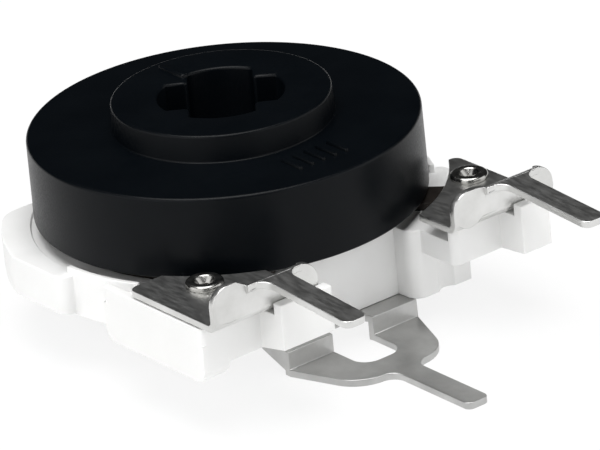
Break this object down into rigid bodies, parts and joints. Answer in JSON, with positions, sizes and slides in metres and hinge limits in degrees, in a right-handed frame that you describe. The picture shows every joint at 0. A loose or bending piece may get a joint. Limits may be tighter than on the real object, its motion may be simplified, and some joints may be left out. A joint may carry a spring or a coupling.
{
  "type": "trimmer potentiometer",
  "caption": "Round carbon trimmer potentiometer: a black wheel rotor with a cross recess turns on an open white base with riveted flat solder pins.",
  "frame": {"origin": "On the rotor's axis, in the plane that the underside rests on.", "axes": "+Z along the rotor's axis, out of the recess; the solder pins point along -Y; +X runs from the left outer pin to the right one."},
  "size_m": [0.015, 0.0203, 0.0077],
  "materials": {
    "base_plastic": "white moulded thermoplastic, faint satin",
    "rotor_plastic": "black moulded thermoplastic with a fine grain",
    "phenolic_board": "brown paper laminate with a black carbon track",
    "tinned_sheet": "tin-plated sheet, satin with fine rolling marks",
    "rivet_metal": "tin-plated, rolled over",
    "eyelet_metal": "silvered brass, burnished by the contacts",
    "spring_bronze": "phosphor bronze strip",
    "keeper_steel": "blank spring steel"
  },
  "bodies": {
    "base": {"base": "base_plastic", "resistance_element": "phenolic_board", "terminal_left": "tinned_sheet", "terminal_right": "tinned_sheet", "rivet_left": "rivet_metal", "rivet_right": "rivet_metal", "wiper_terminal": "tinned_sheet", "collector_eyelet": "eyelet_metal"},
    "rotor": {"rotor": "rotor_plastic", "wiper_spring": "spring_bronze", "keeper_ring": "keeper_steel"}
  },
  "joints": [
    {"name": "rotor_turn", "type": "hinge", "parent": "base", "child": "rotor", "pos_m": [0, 0, 0], "axis": [0, 0, 1], "range_deg": [-132.5, 132.5]}
  ]
}
